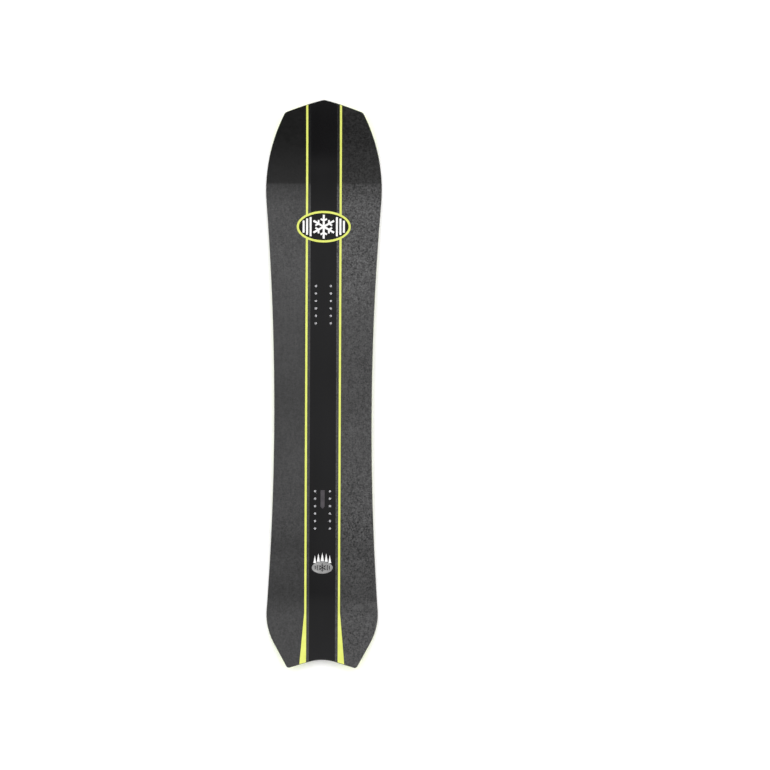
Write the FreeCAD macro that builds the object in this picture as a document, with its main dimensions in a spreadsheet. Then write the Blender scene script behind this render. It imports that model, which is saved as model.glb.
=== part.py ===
import FreeCAD, Part
import math
import os
import Sketcher

# A directional snowboard, 152 cm long, lying on its base.
#
# Frame: X across the board, Y along it with the nose at +Y, Z up. The origin is under the middle of
# the length and of the width, level with the two lowest lines of the base. Everything is in mm.
#
# The board is a sandwich. From the floor up: base and steel edges, rubber strips, lower laminate,
# wood core between two sidewalls and two end spacers, reinforcement mats, upper laminate, topsheet.
# Each layer is cut from an upright block with the board's outline by a side-view strip with the
# board's camber and upturned ends. The layers under the core follow the base's line, and the layers
# over it follow the deck's line, which comes closer to the base towards both ends.

Vector = FreeCAD.Vector

DIMENSIONS = {
    # Outline seen from above
    "board_length": 1520,
    "waist_half_width": 131,
    "waist_setback": 92,
    "sidecut_radius": 7200,
    "sidecut_front": 485,
    "sidecut_rear": 605,
    "nose_side_radius": 443,
    "shoulder_offset": 96,
    "shoulder_radius": 12,
    "nose_front_radius": 850,
    "nose_point_radius": 20,
    "tail_side_radius": 160,
    "tail_taper_angle": 29,
    "tail_corner_radius": 8,
    "tail_end_angle": 16.7,
    "tail_notch_radius": 120,
    # Side view: heights of the base at mid-camber, at the contact lines and at the ends
    "contact_front": 540,
    "contact_rear": 562,
    "end_overrun": 5,
    "contact_height": 0.18,
    "camber": 6,
    "nose_rise": 42,
    "tail_rise": 23,
    # Core thickness at mid-camber, at the contact lines and at the ends
    "core_middle": 5.6,
    "core_contact": 3.4,
    "core_end": 1.9,
    # Layers
    "base_thickness": 1.2,
    "lower_laminate_top": 2.4,
    "mat_thickness": 0.3,
    "upper_laminate_thickness": 0.8,
    "topsheet_thickness": 0.6,
    # Steel edge and rubber strip
    "edge_width": 2.1,
    "flange_width": 7,
    "edge_height": 1.7,
    "rubber_width": 12,
    "rubber_top": 2,
    # Sidewalls and topsheet, measured in from the edge
    "sidewall_inset": 0.6,
    "sidewall_width": 8,
    "topsheet_inset": 1.2,
    "core_front": 515,
    "core_rear": 612,
    # Core stringers
    "stringer_width": 22,
    "whole_stringers": 9,
    # Threaded inserts: two packs of two columns
    "insert_front": 213,
    "insert_rear": -337,
    "insert_column_offset": 20,
    "insert_pitch": 20,
    "insert_rows": 6,
    "insert_barrel_diameter": 7.6,
    "insert_flange_diameter": 16,
    "insert_flange_thickness": 1,
    "insert_bore_diameter": 5,
    "bore_overrun": 5,
    "mat_half_width": 55,
    "mat_half_length": 95,
    # Base graphics, die-cut right through the base
    "stripe_half_width": 44.5,
    "badge_place": 606,
    "badge_half_width": 106,
    "badge_half_length": 58,
    "badge_ring": 8,
    "crystal_reach": 42,
    "crystal_thickness": 7,
    "crystal_turn": 30,
    "branch_start": 21,
    "branch_length": 13,
    "branch_thickness": 6,
    "branch_lean": 60,
    "badge_bars": 4,
    "badge_bar_first": 47,
    "badge_bar_pitch": 12.5,
    "badge_bar_width": 7,
    "badge_bar_margin": 7,
    # Upright blocks are taller than the board everywhere
    "block_height": 200,
    "block_reach": 900,
}

doc = FreeCAD.newDocument("snowboard")
dims = doc.addObject("Spreadsheet::Sheet", "dims")
for row, (alias, size) in enumerate(DIMENSIONS.items(), start=1):
    dims.set(f"A{row}", alias)
    dims.set(f"B{row}", str(size))
    dims.setAlias(f"B{row}", alias)
doc.recompute()


def value(expression):
    """The number that an expression on the sheet gives now."""
    return float(dims.evalExpression(expression))


# ---------------------------------------------------------------- sketch helpers


def arc(centre, radius, start, end):
    """Arc that runs counter-clockwise from the direction of start to the direction of end."""
    first = math.atan2(start.y - centre.y, start.x - centre.x)
    last = math.atan2(end.y - centre.y, end.x - centre.x)
    if last < first:
        last += 2 * math.pi
    return Part.ArcOfCircle(Part.Circle(centre, Vector(0, 0, 1), radius), first, last)


def mirrored(curve):
    """The same line or arc on the other side of the sketch's vertical axis."""
    start = Vector(-curve.StartPoint.x, curve.StartPoint.y, 0)
    end = Vector(-curve.EndPoint.x, curve.EndPoint.y, 0)
    if isinstance(curve, Part.LineSegment):
        return Part.LineSegment(start, end)
    return arc(Vector(-curve.Center.x, curve.Center.y, 0), curve.Radius, end, start)


def bind(sketch, name, expression, kind, *where):
    """Add a dimension to a sketch and tie it to the sheet."""
    number = value(expression)
    if kind == "Angle":
        number = math.radians(number)
        expression = f"({expression}) * 1 deg"
    index = sketch.addConstraint(Sketcher.Constraint(kind, *where, number))
    sketch.renameConstraint(index, name)
    sketch.setExpression(f"Constraints.{name}", expression)


def place_point(sketch, name, geometry, position, across, along):
    """Fix a point of a sketch at two expressions, measured from the sketch's origin."""
    bind(sketch, name + "_across", across, "DistanceX", -1, 1, geometry, position)
    bind(sketch, name + "_along", along, "DistanceY", -1, 1, geometry, position)


def solved(sketch):
    """Solve a sketch, and stop if its dimensions contradict each other."""
    if sketch.solve() != 0:
        raise RuntimeError(f"sketch {sketch.Name} can't be solved")
    doc.recompute()
    return sketch


# ---------------------------------------------------------------- outline


def right_outline():
    """Curves of the outline's right side, from the nose to the tail notch, touching smoothly."""
    half_length = value("dims.board_length / 2")
    sidecut = value("dims.sidecut_radius")
    waist = Vector(value("dims.waist_half_width") + sidecut, -value("dims.waist_setback"), 0)

    def on_sidecut(along):
        return Vector(waist.x - math.sqrt(sidecut**2 - (along - waist.y) ** 2), along, 0)

    front_joint = on_sidecut(value("dims.sidecut_front"))
    rear_joint = on_sidecut(-value("dims.sidecut_rear"))

    nose_radius = value("dims.nose_side_radius")
    nose_centre = front_joint - (waist - front_joint) * (nose_radius / sidecut)
    shoulder_radius = value("dims.shoulder_radius")
    shoulder_x = value("dims.shoulder_offset")
    reach = nose_radius - shoulder_radius
    shoulder = Vector(
        shoulder_x, nose_centre.y + math.sqrt(reach**2 - (shoulder_x - nose_centre.x) ** 2), 0
    )
    point_radius = value("dims.nose_point_radius")
    point = Vector(0, half_length - point_radius, 0)

    # The front curve touches the point's arc and the shoulder's arc from outside both.
    front_radius = value("dims.nose_front_radius")
    to_point = front_radius - point_radius
    to_shoulder = front_radius - shoulder_radius
    gap = shoulder - point
    along_gap = (to_point**2 - to_shoulder**2 + gap.Length**2) / (2 * gap.Length)
    beside_gap = math.sqrt(to_point**2 - along_gap**2)
    direction = Vector(gap).normalize()
    inward = Vector(direction.y, -direction.x, 0)
    front = point + direction * along_gap + inward * beside_gap

    tail_radius = value("dims.tail_side_radius")
    tail_centre = rear_joint - (waist - rear_joint) * (tail_radius / sidecut)
    taper = math.radians(value("dims.tail_taper_angle"))
    taper_normal = Vector(math.cos(taper), -math.sin(taper), 0)
    taper_along = Vector(-math.sin(taper), -math.cos(taper), 0)
    taper_start = tail_centre + taper_normal * tail_radius
    corner_radius = value("dims.tail_corner_radius")
    corner_y = corner_radius - half_length
    offset_start = taper_start - taper_normal * corner_radius
    corner = offset_start + taper_along * ((corner_y - offset_start.y) / taper_along.y)
    end_angle = math.radians(value("dims.tail_end_angle"))
    end_normal = Vector(-math.sin(end_angle), -math.cos(end_angle), 0)
    flank_start = corner + end_normal * corner_radius
    notch_radius = value("dims.tail_notch_radius")
    flank_end_x = notch_radius * math.sin(end_angle)
    flank_end = Vector(
        flank_end_x, flank_start.y + (flank_start.x - flank_end_x) * math.tan(end_angle), 0
    )
    notch = flank_end + end_normal * notch_radius

    point_joint = point + (point - front).normalize() * point_radius
    front_shoulder = shoulder + (shoulder - front).normalize() * shoulder_radius
    side_shoulder = shoulder + (shoulder - nose_centre).normalize() * shoulder_radius
    left_point = Vector(-point_joint.x, point_joint.y, 0)
    left_flank = Vector(-flank_end.x, flank_end.y, 0)
    corner_joint = corner + taper_normal * corner_radius
    return [
        arc(point, point_radius, point_joint, left_point),
        arc(front, front_radius, front_shoulder, point_joint),
        arc(shoulder, shoulder_radius, side_shoulder, front_shoulder),
        arc(nose_centre, nose_radius, front_joint, side_shoulder),
        arc(waist, sidecut, front_joint, rear_joint),
        arc(tail_centre, tail_radius, taper_start, rear_joint),
        Part.LineSegment(taper_start, corner_joint),
        arc(corner, corner_radius, flank_start, corner_joint),
        Part.LineSegment(flank_start, flank_end),
        arc(notch, notch_radius, flank_end, left_flank),
    ]


def outline_sketch():
    """The board's whole outline in plan, symmetrical about the Y axis."""
    sketch = doc.addObject("Sketcher::SketchObject", "outline")
    curves = right_outline()
    sketch.addGeometry(curves)
    point, front, shoulder, nose, sidecut, tail, taper, corner, flank, notch = range(len(curves))
    joints = [
        (point, 1, front, 2),
        (front, 1, shoulder, 2),
        (shoulder, 1, nose, 2),
        (nose, 1, sidecut, 1),
        (sidecut, 2, tail, 2),
        (tail, 1, taper, 1),
        (taper, 2, corner, 2),
        (corner, 1, flank, 1),
        (flank, 2, notch, 1),
    ]
    for joint in joints:
        sketch.addConstraint(Sketcher.Constraint("Tangent", *joint))
    radii = {
        "nose_point_radius": point,
        "nose_front_radius": front,
        "shoulder_radius": shoulder,
        "nose_side_radius": nose,
        "sidecut_radius": sidecut,
        "tail_side_radius": tail,
        "tail_corner_radius": corner,
        "tail_notch_radius": notch,
    }
    for alias, curve in radii.items():
        bind(sketch, alias, f"dims.{alias}", "Radius", curve)
    for centred in (point, notch):
        sketch.addConstraint(Sketcher.Constraint("PointOnObject", centred, 3, -2))
        sketch.addConstraint(Sketcher.Constraint("Horizontal", centred, 1, centred, 2))
    tip_centre = "dims.board_length / 2 - dims.nose_point_radius"
    corner_centre = "dims.tail_corner_radius - dims.board_length / 2"
    bind(sketch, "tip", tip_centre, "DistanceY", -1, 1, point, 3)
    bind(sketch, "corner", corner_centre, "DistanceY", -1, 1, corner, 3)
    bind(sketch, "shoulder", "dims.shoulder_offset", "DistanceX", -1, 1, shoulder, 3)
    waist_centre = "dims.waist_half_width + dims.sidecut_radius"
    place_point(sketch, "waist", sidecut, 3, waist_centre, "-dims.waist_setback")
    bind(sketch, "sidecut_front", "dims.sidecut_front", "DistanceY", -1, 1, sidecut, 1)
    bind(sketch, "sidecut_rear", "-dims.sidecut_rear", "DistanceY", -1, 1, sidecut, 2)
    bind(sketch, "taper", "-90 - dims.tail_taper_angle", "Angle", taper)
    bind(sketch, "flank", "180 - dims.tail_end_angle", "Angle", flank)

    for right in range(front, notch):
        left = sketch.addGeometry(mirrored(curves[right]))
        if isinstance(curves[right], Part.LineSegment):
            pairs = ((1, 1), (2, 2))
        else:
            pairs = ((1, 2), (2, 1))
            sketch.addConstraint(Sketcher.Constraint("Equal", right, left))
        for right_end, left_end in pairs:
            sketch.addConstraint(
                Sketcher.Constraint("Symmetric", right, right_end, left, left_end, -2)
            )
    return solved(sketch)


outline = outline_sketch()


def upright(name, sketch):
    """Upright block over a plan sketch, through every layer."""
    block = doc.addObject("Part::Extrusion", name)
    block.Base = sketch
    block.DirMode = "Custom"
    block.Dir = Vector(0, 0, 1)
    block.Solid = True
    block.Symmetric = True
    block.setExpression("LengthFwd", "dims.block_height")
    return block


def board_block(name, inset):
    """Upright block with the board's outline, set in by an expression."""
    rim = doc.addObject("Part::Offset2D", name + "_rim")
    rim.Source = outline
    rim.Mode = "Pipe"
    rim.Join = "Intersection"
    rim.setExpression("Value", f"-({inset})")
    return upright(name, rim)


full_block = upright("full_block", outline)
sidewall_block = board_block("sidewall_block", "dims.sidewall_inset")
topsheet_block = board_block("topsheet_block", "dims.topsheet_inset")
edge_block = board_block("edge_block", "dims.edge_width")
flange_block = board_block("flange_block", "dims.flange_width")
core_block = board_block("core_block", "dims.sidewall_inset + dims.sidewall_width")
rubber_block = board_block("rubber_block", "dims.rubber_width")

# ---------------------------------------------------------------- side view


def base_line(above):
    """Heights, rear end to nose end, of a line that runs a distance above the base."""
    return {
        "tail": f"dims.tail_rise + {above}",
        "rear": f"dims.contact_height + {above}",
        "middle": f"dims.contact_height + dims.camber + {above}",
        "front": f"dims.contact_height + {above}",
        "nose": f"dims.nose_rise + {above}",
    }


def deck_line(above):
    """Heights of a line that runs a distance above the top of the core."""
    core = base_line(f"dims.lower_laminate_top + {above}")
    core["tail"] += " + dims.core_end"
    core["rear"] += " + dims.core_contact"
    core["middle"] += " + dims.core_middle"
    core["front"] += " + dims.core_contact"
    core["nose"] += " + dims.core_end"
    return core


STATIONS = {
    "tail": "-(dims.board_length / 2 + dims.end_overrun)",
    "rear": "-dims.contact_rear",
    "middle": "(dims.contact_front - dims.contact_rear) / 2",
    "front": "dims.contact_front",
    "nose": "dims.board_length / 2 + dims.end_overrun",
}


def add_line(sketch, name, heights):
    """Add a tail arc, a camber arc and a nose arc that touch smoothly; give the two ends' places."""
    place = {key: Vector(value(STATIONS[key]), value(heights[key]), 0) for key in STATIONS}
    half_span = (place["front"].x - place["rear"].x) / 2
    arch = place["middle"].y - place["front"].y
    radius = (half_span**2 + arch**2) / (2 * arch)
    centre = place["middle"] - Vector(0, radius, 0)

    def end_arc(contact, end):
        normal = (place[contact] - centre).normalize()
        chord = place[end] - place[contact]
        end_radius = chord.Length**2 / (2 * chord.dot(normal))
        end_centre = place[contact] + normal * end_radius
        left, right = sorted((place[contact], place[end]), key=lambda spot: spot.x)
        return arc(end_centre, end_radius, left, right)

    tail = sketch.addGeometry(end_arc("rear", "tail"))
    camber = sketch.addGeometry(arc(centre, radius, place["front"], place["rear"]))
    nose = sketch.addGeometry(end_arc("front", "nose"))
    top = sketch.addGeometry(Part.Point(place["middle"]), True)
    sketch.addConstraint(Sketcher.Constraint("Tangent", tail, 2, camber, 2))
    sketch.addConstraint(Sketcher.Constraint("Tangent", camber, 1, nose, 1))
    sketch.addConstraint(Sketcher.Constraint("PointOnObject", top, 1, camber))
    ends = {
        "tail": (tail, 1),
        "rear": (camber, 2),
        "middle": (top, 1),
        "front": (camber, 1),
        "nose": (nose, 2),
    }
    for key, (curve, end) in ends.items():
        place_point(sketch, f"{name}_{key}", curve, end, STATIONS[key], heights[key])
    return ends["tail"], ends["nose"], place["tail"], place["nose"]


def layer(name, lower, upper):
    """Strip between two lines of the side view, right across the board."""
    sketch = doc.addObject("Sketcher::SketchObject", name + "_side")
    sketch.Placement = FreeCAD.Placement(
        Vector(0, 0, 0), FreeCAD.Rotation(Vector(0, 1, 0), Vector(0, 0, 1), Vector(1, 0, 0), "ZXY")
    )
    below = add_line(sketch, "lower", lower)
    above = add_line(sketch, "upper", upper)
    for side in (0, 1):
        closing = sketch.addGeometry(Part.LineSegment(below[side + 2], above[side + 2]))
        sketch.addConstraint(Sketcher.Constraint("Coincident", closing, 1, *below[side]))
        sketch.addConstraint(Sketcher.Constraint("Coincident", closing, 2, *above[side]))
    solved(sketch)
    strip = doc.addObject("Part::Extrusion", name)
    strip.Base = sketch
    strip.DirMode = "Custom"
    strip.Dir = Vector(1, 0, 0)
    strip.Solid = True
    strip.Symmetric = True
    strip.setExpression("LengthFwd", "dims.block_reach")
    return strip


laminate_top = "dims.upper_laminate_thickness"
deck_top = "dims.upper_laminate_thickness + dims.topsheet_thickness"
flange_top = "dims.lower_laminate_top + dims.insert_flange_thickness"

base_layer = layer("base_layer", base_line("0"), base_line("dims.base_thickness"))
edge_layer = layer("edge_layer", base_line("0"), base_line("dims.edge_height"))
flange_layer = layer(
    "flange_layer", base_line("dims.base_thickness"), base_line("dims.edge_height")
)
rubber_layer = layer("rubber_layer", base_line("dims.edge_height"), base_line("dims.rubber_top"))
lower_layer = layer(
    "lower_layer", base_line("dims.base_thickness"), base_line("dims.lower_laminate_top")
)
core_layer = layer("core_layer", base_line("dims.lower_laminate_top"), deck_line("0"))
mat_layer = layer("mat_layer", deck_line("0"), deck_line("dims.mat_thickness"))
upper_layer = layer("upper_layer", deck_line("0"), deck_line(laminate_top))
topsheet_layer = layer("topsheet_layer", deck_line(laminate_top), deck_line(deck_top))
insert_layer = layer("insert_layer", base_line("dims.lower_laminate_top"), deck_line(deck_top))
seat_layer = layer("seat_layer", base_line("dims.lower_laminate_top"), base_line(flange_top))
bore_layer = layer("bore_layer", base_line(flange_top), deck_line(f"{deck_top} + dims.bore_overrun"))

# ---------------------------------------------------------------- booleans

pieces = []


def combine(kind, name, first, second):
    """One boolean of two objects: Common, Cut or Fuse."""
    result = doc.addObject(f"Part::{kind}", name)
    result.Base = first
    result.Tool = second
    return result


def gather(name, shapes):
    """One object out of several."""
    result = doc.addObject("Part::MultiFuse", name)
    result.Shapes = shapes
    result.Refine = False
    return result


def piece(label, shape):
    """Name a finished piece of the board."""
    shape.Label = label
    pieces.append(shape)
    return shape


def block(name, left, right, rear, front):
    """Upright block between four planes, each an expression."""
    box = doc.addObject("Part::Box", name)
    box.setExpression("Length", f"({right}) - ({left})")
    box.setExpression("Width", f"({front}) - ({rear})")
    box.setExpression("Height", "dims.block_height")
    box.setExpression("Placement.Base.x", left)
    box.setExpression("Placement.Base.y", rear)
    box.setExpression("Placement.Base.z", "-dims.block_height / 2")
    return box


REACH = "dims.block_reach"
SIDES = {"left": ("-" + REACH, "0"), "right": ("0", REACH)}

# ---------------------------------------------------------------- threaded inserts


def insert_columns():
    """Each pack's two columns: name, place across, and places along of its rows."""
    rows = int(value("dims.insert_rows"))
    columns = {}
    for pack in ("front", "rear"):
        for side, sign in (("left", "-"), ("right", "")):
            along = [
                f"dims.insert_{pack} + {row - (rows - 1) / 2} * dims.insert_pitch"
                for row in range(rows)
            ]
            columns[f"{pack}_{side}"] = (f"{sign}dims.insert_column_offset", along)
    return columns


def posts(name, across, along, diameter):
    """A row of upright round posts through every layer."""
    sketch = doc.addObject("Sketcher::SketchObject", name + "_plan")
    for number, place in enumerate(along):
        centre = Vector(value(across), value(place), 0)
        radius = value(diameter) / 2
        sketch.addGeometry(Part.Circle(centre, Vector(0, 0, 1), radius))
        place_point(sketch, f"post_{number}", number, 3, across, place)
        bind(sketch, f"size_{number}", diameter, "Diameter", number)
    return upright(name, solved(sketch))


barrels = []
flanges = []
for column, (across, along) in insert_columns().items():
    barrel = posts(f"barrel_{column}", across, along, "dims.insert_barrel_diameter")
    flange = posts(f"flange_{column}", across, along, "dims.insert_flange_diameter")
    bore = posts(f"bore_{column}", across, along, "dims.insert_bore_diameter")
    tubes = combine("Common", f"tubes_{column}", barrel, insert_layer)
    seats = combine("Common", f"seats_{column}", flange, seat_layer)
    blanks = combine("Fuse", f"blanks_{column}", tubes, seats)
    holes = combine("Common", f"holes_{column}", bore, bore_layer)
    piece(f"inserts_{column}", combine("Cut", f"inserts_{column}", blanks, holes))
    barrels.append(barrel)
    flanges.append(seats)
all_barrels = gather("all_barrels", barrels)
all_insert_space = gather("all_insert_space", barrels + flanges)

# ---------------------------------------------------------------- topsheet and upper laminate

topsheet_blank = combine("Common", "topsheet_blank", topsheet_block, topsheet_layer)
piece("topsheet", combine("Cut", "topsheet", topsheet_blank, all_barrels))

mats = []
for pack in ("front", "rear"):
    plan = block(
        f"mat_{pack}_plan",
        "-dims.mat_half_width",
        "dims.mat_half_width",
        f"dims.insert_{pack} - dims.mat_half_length",
        f"dims.insert_{pack} + dims.mat_half_length",
    )
    mat = combine("Common", f"mat_{pack}_blank", plan, mat_layer)
    mats.append(mat)
    piece(f"insert_mat_{pack}", combine("Cut", f"mat_{pack}", mat, all_barrels))

upper_blank = combine("Common", "upper_blank", sidewall_block, upper_layer)
upper_holes = gather("upper_holes", mats + [all_barrels])
piece("upper_laminate", combine("Cut", "upper_laminate", upper_blank, upper_holes))

# ---------------------------------------------------------------- core layer


def core_stringers():
    """Lengthwise wood strips, side by side, numbered from the left."""
    width = value("dims.stringer_width")
    whole = int(value("dims.whole_stringers"))
    first_cut = -whole / 2
    cuts = ["-" + REACH]
    cuts += [f"{first_cut + number} * dims.stringer_width" for number in range(whole + 1)]
    cuts += [REACH]
    wood = combine("Common", "core_blank", core_block, core_layer)
    column = value("dims.insert_column_offset")
    for number, (left, right) in enumerate(zip(cuts, cuts[1:]), start=1):
        plan = block(f"stringer_plan_{number}", left, right, "-dims.core_rear", "dims.core_front")
        strip = combine("Common", f"stringer_blank_{number}", wood, plan)
        near_column = min(abs(value(left)), abs(value(right))) < column + width / 2
        if near_column:
            strip = combine("Cut", f"stringer_{number}", strip, all_insert_space)
        piece(f"core_stringer_{number:02d}", strip)


core_stringers()

core_ring = combine("Cut", "core_ring", sidewall_block, core_block)
sidewall_blank = combine("Common", "sidewall_blank", core_ring, core_layer)
for side, (left, right) in SIDES.items():
    plan = block(f"sidewall_{side}_plan", left, right, "-dims.core_rear", "dims.core_front")
    piece(f"sidewall_{side}", combine("Common", f"sidewall_{side}", sidewall_blank, plan))

spacer_blank = combine("Common", "spacer_blank", sidewall_block, core_layer)
spacers = {"nose": ("dims.core_front", REACH), "tail": ("-" + REACH, "-dims.core_rear")}
for end, (rear, front) in spacers.items():
    plan = block(f"spacer_{end}_plan", "-" + REACH, REACH, rear, front)
    piece(f"{end}_spacer", combine("Common", f"spacer_{end}", spacer_blank, plan))

# ---------------------------------------------------------------- steel edges and rubber strips

edge_ring = combine("Cut", "edge_ring", full_block, edge_block)
edge_bar = combine("Common", "edge_bar", edge_ring, edge_layer)
flange_ring = combine("Cut", "flange_ring", full_block, flange_block)
edge_flange = combine("Common", "edge_flange", flange_ring, flange_layer)
edge_blank = combine("Fuse", "edge_blank", edge_bar, edge_flange)
rubber_ring = combine("Cut", "rubber_ring", sidewall_block, rubber_block)
rubber_blank = combine("Common", "rubber_blank", rubber_ring, rubber_layer)
under_laminate = [edge_blank]
for side, (left, right) in SIDES.items():
    half = block(f"edge_{side}_plan", left, right, "-" + REACH, REACH)
    piece(f"steel_edge_{side}", combine("Common", f"edge_{side}", edge_blank, half))
    plan = block(f"rubber_{side}_plan", left, right, "-dims.contact_rear", "dims.contact_front")
    rubber = combine("Common", f"rubber_{side}", rubber_blank, plan)
    piece(f"rubber_strip_{side}", rubber)
    under_laminate.append(rubber)

lower_blank = combine("Common", "lower_blank", sidewall_block, lower_layer)
lower_rebate = gather("lower_rebate", under_laminate)
piece("lower_laminate", combine("Cut", "lower_laminate", lower_blank, lower_rebate))

# ---------------------------------------------------------------- base and its die-cut badge


def oval(name, inset):
    """Upright oval on the centre line of the nose, set in by an expression."""
    plan = doc.addObject("Part::Ellipse", name + "_plan")
    plan.setExpression("MajorRadius", f"dims.badge_half_width - {inset}")
    plan.setExpression("MinorRadius", f"dims.badge_half_length - {inset}")
    plan.setExpression("Placement.Base.y", "dims.badge_place")
    return upright(name, plan)


def bar(name, middle, length, width, heading):
    """Upright bar of the badge: its middle is measured from the badge's, its heading from X."""
    box = doc.addObject("Part::Box", name)
    box.setExpression("Length", length)
    box.setExpression("Width", width)
    box.setExpression("Height", "dims.block_height")
    turn = FreeCAD.Rotation(Vector(0, 0, 1), heading)
    half = Vector(value(length) / 2, value(width) / 2, value("dims.block_height") / 2)
    place = middle + Vector(0, value("dims.badge_place"), 0)
    box.Placement = FreeCAD.Placement(place - turn.multVec(half), turn)
    return box


def towards(heading):
    """Unit vector in plan."""
    return Vector(math.cos(math.radians(heading)), math.sin(math.radians(heading)), 0)


def snow_crystal():
    """Six-armed snow crystal: three long bars through the middle, and a small V on each arm."""
    arms = 6
    apart = 360 / arms
    first = value("dims.crystal_turn")
    bars = []
    for number in range(arms // 2):
        heading = first + apart * number
        reach = "2 * dims.crystal_reach"
        bars.append(bar(f"arm_{number}", Vector(), reach, "dims.crystal_thickness", heading))
    lean = value("dims.branch_lean")
    for number in range(arms):
        heading = first + apart * number
        root = towards(heading) * value("dims.branch_start")
        for side, way in (("right", heading - lean), ("left", heading + lean)):
            middle = root + towards(way) * value("dims.branch_length / 2")
            name = f"branch_{number}_{side}"
            bars.append(bar(name, middle, "dims.branch_length", "dims.branch_thickness", way))
    return bars


def badge_motif():
    """The crystal, with a row of plain bars at each side that keep a margin to the oval."""
    shapes = snow_crystal()
    half_width = "(dims.badge_half_width - dims.badge_ring)"
    half_length = "(dims.badge_half_length - dims.badge_ring)"
    for number in range(int(value("dims.badge_bars"))):
        across = f"(dims.badge_bar_first + {number} * dims.badge_bar_pitch)"
        reach = f"{half_length} * sqrt(1 - ({across} / {half_width})^2)"
        length = f"2 * ({reach} - dims.badge_bar_margin)"
        for side, sign in (("left", -1), ("right", 1)):
            middle = Vector(sign * value(across), 0, 0)
            name = f"badge_bar_{side}_{number}"
            shapes.append(bar(name, middle, "dims.badge_bar_width", length, 0))
    return gather("badge_motif_plan", shapes)


base_blank = combine("Common", "base_blank", edge_block, base_layer)
badge_outside = oval("badge_outside", "0")
badge_inside = oval("badge_inside", "dims.badge_ring")
motif = badge_motif()
ring = combine("Cut", "badge_ring_plan", badge_outside, badge_inside)
field = combine("Cut", "badge_field_plan", badge_inside, motif)
piece("base_badge_ring", combine("Common", "badge_ring", base_blank, ring))
piece("base_badge_field", combine("Common", "badge_field", base_blank, field))
piece("base_badge_motif", combine("Common", "badge_motif", base_blank, motif))

base_rest = combine("Cut", "base_rest", base_blank, badge_outside)
STRIPE = "dims.stripe_half_width"
base_parts = {
    "base_panel_left": ("-" + REACH, "-" + STRIPE),
    "base_centre_stripe": ("-" + STRIPE, STRIPE),
    "base_panel_right": (STRIPE, REACH),
}
for label, (left, right) in base_parts.items():
    plan = block(label + "_plan", left, right, "-" + REACH, REACH)
    piece(label, combine("Common", label, base_rest, plan))

# ---------------------------------------------------------------- check and write

doc.recompute()
for thing in doc.Objects:
    if "Invalid" in thing.State or "Error" in thing.State:
        raise RuntimeError(f"{thing.Name} failed: {thing.State}")
for shape in pieces:
    if shape.Shape.isNull() or not shape.Shape.isValid() or not shape.Shape.Solids:
        raise RuntimeError(f"{shape.Label} has no valid solid")

os.makedirs("parts", exist_ok=True)
for shape in pieces:
    shape.Shape.exportStep(f"parts/{shape.Label}.step")
    print(f"{shape.Label}: {len(shape.Shape.Solids)} solids, {shape.Shape.Volume / 1000:.1f} cm3")
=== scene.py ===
import math

import bmesh
import bpy
import numpy as np
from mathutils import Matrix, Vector
from mathutils.geometry import delaunay_2d_cdt


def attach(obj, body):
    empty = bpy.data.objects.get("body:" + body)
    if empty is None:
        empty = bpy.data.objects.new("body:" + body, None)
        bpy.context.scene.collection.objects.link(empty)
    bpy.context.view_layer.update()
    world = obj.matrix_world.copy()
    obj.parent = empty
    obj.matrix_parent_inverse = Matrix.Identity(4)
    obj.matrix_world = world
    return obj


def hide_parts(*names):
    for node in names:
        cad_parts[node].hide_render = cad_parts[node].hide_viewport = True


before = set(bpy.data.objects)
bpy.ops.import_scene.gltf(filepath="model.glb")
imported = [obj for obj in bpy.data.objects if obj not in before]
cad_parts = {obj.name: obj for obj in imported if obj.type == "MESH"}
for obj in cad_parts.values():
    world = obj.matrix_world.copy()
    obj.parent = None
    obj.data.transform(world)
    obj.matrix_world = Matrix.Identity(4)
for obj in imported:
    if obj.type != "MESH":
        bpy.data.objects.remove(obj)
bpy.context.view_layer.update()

# A directional snowboard lying on its base, nose at +Y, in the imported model's frame (metres).
#
# The visible layers are rebuilt smooth from the same outline and side view as the CAD model. The
# printed graphics are thin films on the topsheet. Sizes below are in millimetres until they are
# multiplied by MM.

MM = 0.001

# ---------------------------------------------------------------- driving dimensions, in mm

HALF_LENGTH = 760
WAIST_HALF_WIDTH = 131
WAIST_SETBACK = 92
SIDECUT_RADIUS = 7200
SIDECUT_FRONT = 485
SIDECUT_REAR = 605
NOSE_SIDE_RADIUS = 443
SHOULDER_OFFSET = 96
SHOULDER_RADIUS = 12
NOSE_FRONT_RADIUS = 850
NOSE_POINT_RADIUS = 20
TAIL_SIDE_RADIUS = 160
TAIL_TAPER_ANGLE = 29
TAIL_CORNER_RADIUS = 8
TAIL_END_ANGLE = 16.7
TAIL_NOTCH_RADIUS = 120
CONTACT_FRONT = 540
CONTACT_REAR = 562
END_OVERRUN = 5
CONTACT_HEIGHT = 0.18
CAMBER = 6
NOSE_RISE = 42
TAIL_RISE = 23
CORE_MIDDLE = 5.6
CORE_CONTACT = 3.4
CORE_END = 1.9
BASE_THICKNESS = 1.2
LOWER_LAMINATE_TOP = 2.4
UPPER_LAMINATE_THICKNESS = 0.8
DECK_TOP = 1.4
EDGE_WIDTH = 2.1
FLANGE_WIDTH = 7
EDGE_HEIGHT = 1.7
SIDEWALL_INSET = 0.6
SIDEWALL_WIDTH = 8
TOPSHEET_INSET = 1.2
CORE_FRONT = 515
CORE_REAR = 612
INSERT_PLACES = {"front": 213, "rear": -337}
INSERT_COLUMN_OFFSET = 20
INSERT_PITCH = 20
INSERT_ROWS = 6
INSERT_BARREL_RADIUS = 3.8
INSERT_NECK_RADIUS = 3.3
INSERT_FLANGE_RADIUS = 8
INSERT_FLANGE_THICKNESS = 1
INSERT_BORE_RADIUS = 2.5
THREAD_PITCH = 0.9
THREAD_DEPTH = 0.32
STRIPE_HALF_WIDTH = 44.5
BADGE_PLACE = 606
BADGE_HALF_WIDTH = 106
BADGE_HALF_LENGTH = 58
BADGE_RING = 8
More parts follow.
